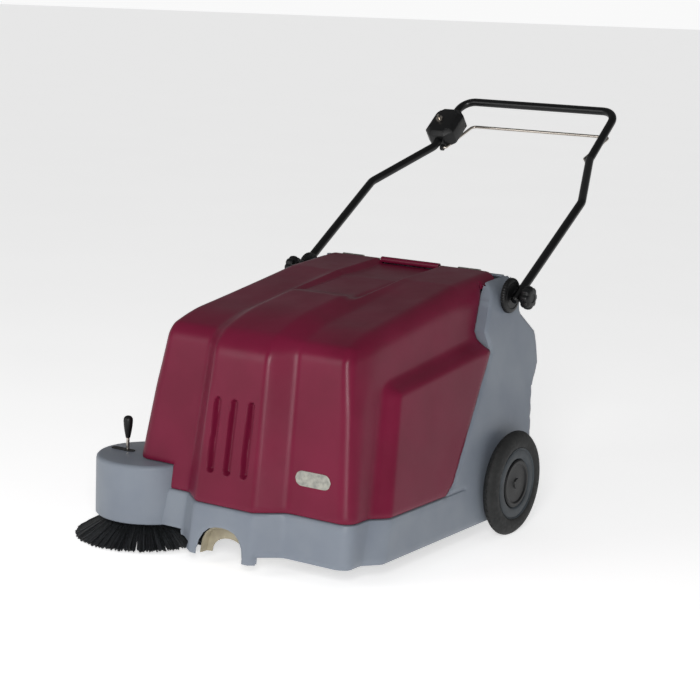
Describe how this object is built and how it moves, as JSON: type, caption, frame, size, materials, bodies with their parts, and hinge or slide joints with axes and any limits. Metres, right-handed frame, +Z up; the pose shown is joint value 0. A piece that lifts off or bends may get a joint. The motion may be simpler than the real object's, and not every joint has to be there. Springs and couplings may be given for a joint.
{
  "type": "walk behind sweeper",
  "caption": "Walk-behind floor sweeper with a lift-up hood, roller broom, flared side broom, rear hopper and a tilting push handle.",
  "frame": {"origin": "middle of the footprint on the floor, under the centre of the object's bounding box", "axes": "+Z up, the machine's front faces -Y and its handle reaches back along +Y, +X is the machine's left side"},
  "size_m": [0.867, 1.5051, 1.0175],
  "materials": {
    "hood_maroon": "satin",
    "base_grey": "satin",
    "black_plastic": "textured",
    "dark_plastic": "textured",
    "black_paint": "semi-gloss powder coat",
    "frame_paint": "matt powder coat",
    "bright_steel": "bright",
    "zinc_plate": "zinc plated",
    "cast_alloy": "as cast",
    "tyre_rubber": "matt",
    "rim_grey": "moulded",
    "caster_rubber": "matt",
    "belt_rubber": "matt",
    "flap_rubber": "matt",
    "bristle": "filament tufts",
    "filter_paper": "pleated",
    "battery_case": "moulded",
    "strap_web": "woven"
  },
  "bodies": {
    "machine_body": {"base_shell": "base_grey", "rear_panel": "base_grey", "chassis_frame": "frame_paint", "caster_bracket": "frame_paint", "caster_plate": "zinc_plate", "hood_hinge_pin": "bright_steel", "hood_hinge_bracket_left": "zinc_plate", "hood_hinge_bracket_right": "zinc_plate", "broom_bearing_left": "bright_steel", "broom_bearing_right": "bright_steel", "broom_motor": "dark_plastic", "drive_belt": "belt_rubber", "battery_left": "battery_case", "battery_right": "battery_case", "battery_strap": "strap_web", "fan_housing": "dark_plastic", "fan_motor": "dark_plastic", "filter_frame": "dark_plastic", "filter_element": "filter_paper", "stub_axle_left": "bright_steel", "stub_axle_right": "bright_steel", "pivot_disc_left": "black_plastic", "pivot_disc_right": "black_plastic", "front_flap": "flap_rubber", "rear_flap": "belt_rubber", "lift_lever_pin": "bright_steel"},
    "hood_lid": {"hood": "hood_maroon", "hood_hinge_leaf_left": "zinc_plate", "hood_hinge_leaf_right": "zinc_plate"},
    "main_broom": {"main_broom_shaft": "bright_steel", "main_broom_core": "black_plastic", "main_broom_bristles": "bristle", "broom_pulley": "cast_alloy"},
    "motor_drive": {"motor_pulley": "cast_alloy"},
    "fan_rotor": {"fan_impeller": "cast_alloy"},
    "wheel_left": {"tyre_left": "tyre_rubber", "wheel_rim_left": "rim_grey", "hub_cap_left": "black_plastic"},
    "wheel_right": {"tyre_right": "tyre_rubber", "wheel_rim_right": "rim_grey", "hub_cap_right": "black_plastic"},
    "caster_swivel": {"caster_fork": "zinc_plate", "caster_axle": "bright_steel"},
    "caster_roller": {"caster_wheel": "caster_rubber"},
    "side_broom_carrier": {"side_broom_motor": "dark_plastic"},
    "side_broom": {"side_broom_hub": "black_plastic", "side_broom_bristles": "bristle"},
    "lever": {"lift_lever": "bright_steel", "lift_lever_grip": "black_plastic"},
    "hopper_drawer": {"hopper": "dark_plastic", "hopper_grip": "black_plastic"},
    "handle": {"handle_tube": "black_paint", "control_housing": "black_plastic", "bail_bush_left": "black_plastic", "bail_bush_right": "black_plastic"},
    "bail": {"bail_lever": "bright_steel"},
    "key": {"key_switch": "bright_steel"},
    "knob_left": {"clamp_knob_left": "black_plastic"},
    "knob_right": {"clamp_knob_right": "black_plastic"}
  },
  "joints": [
    {"name": "hood_hinge", "type": "hinge", "parent": "machine_body", "child": "hood_lid", "pos_m": [0.0495, 0.077, 0.63], "axis": [1, 0, 0], "range_deg": [-60, 0]},
    {"name": "handle_tilt", "type": "hinge", "parent": "machine_body", "child": "handle", "pos_m": [0.0495, 0.0605, 0.583], "axis": [1, 0, 0], "range_deg": [-12, 120]},
    {"name": "bail_squeeze", "type": "hinge", "parent": "handle", "child": "bail", "pos_m": [0.0495, 0.5985, 0.883], "axis": [1, 0, 0], "range_deg": [0, 15], "stiffness_Nm_per_rad": 2, "springref_deg": -20.05},
    {"name": "key_turn", "type": "hinge", "parent": "handle", "child": "key", "pos_m": [-0.2075, 0.62715, 0.96035], "axis": [0, -0.6203, 0.7844], "range_deg": [0, 90]},
    {"name": "clamp_knob_left_turn", "type": "hinge", "parent": "machine_body", "child": "knob_left", "pos_m": [0.384, 0.0605, 0.583], "axis": [1, 0, 0], "continuous": true},
    {"name": "clamp_knob_right_turn", "type": "hinge", "parent": "machine_body", "child": "knob_right", "pos_m": [-0.285, 0.0605, 0.583], "axis": [1, 0, 0], "continuous": true},
    {"name": "main_broom_spin", "type": "hinge", "parent": "machine_body", "child": "main_broom", "pos_m": [0.0495, -0.2965, 0.1255], "axis": [1, 0, 0], "continuous": true},
    {"name": "motor_pulley_spin", "type": "hinge", "parent": "machine_body", "child": "motor_drive", "pos_m": [0.338, -0.2115, 0.32], "axis": [1, 0, 0], "continuous": true},
    {"name": "fan_spin", "type": "hinge", "parent": "machine_body", "child": "fan_rotor", "pos_m": [0.0495, -0.3165, 0.5], "axis": [0, 0, 1], "continuous": true},
    {"name": "wheel_left_spin", "type": "hinge", "parent": "machine_body", "child": "wheel_left", "pos_m": [0.4165, -0.0015, 0.13], "axis": [1, 0, 0], "continuous": true},
    {"name": "wheel_right_spin", "type": "hinge", "parent": "machine_body", "child": "wheel_right", "pos_m": [-0.3175, -0.0015, 0.13], "axis": [1, 0, 0], "continuous": true},
    {"name": "caster_swivel", "type": "hinge", "parent": "machine_body", "child": "caster_swivel", "pos_m": [0.0495, -0.5765, 0.1], "axis": [0, 0, 1], "continuous": true},
    {"name": "caster_roll", "type": "hinge", "parent": "caster_swivel", "child": "caster_roller", "pos_m": [0.0495, -0.5465, 0.04], "axis": [1, 0, 0], "continuous": true},
    {"name": "lift_lever_swing", "type": "hinge", "parent": "machine_body", "child": "lever", "pos_m": [-0.3185, -0.5915, 0.172], "axis": [0, 1, 0], "range_deg": [-45, 0]},
    {"name": "side_broom_lift", "type": "slide", "parent": "machine_body", "child": "side_broom_carrier", "axis": [0, 0, 1], "range_m": [0, 0.0132]},
    {"name": "side_broom_spin", "type": "hinge", "parent": "side_broom_carrier", "child": "side_broom", "pos_m": [-0.2585, -0.5775, 0.0062], "axis": [-0.0262, -0.0175, 0.9995], "continuous": true},
    {"name": "hopper_slide", "type": "slide", "parent": "machine_body", "child": "hopper_drawer", "axis": [0, 1, 0], "range_m": [0, 0.3]}
  ],
  "couplings": [
    {"joint": "motor_pulley_spin", "follows": "main_broom_spin", "ratio": 2},
    {"joint": "lift_lever_swing", "follows": "side_broom_lift", "rad_per_m": -59.4}
  ]
}
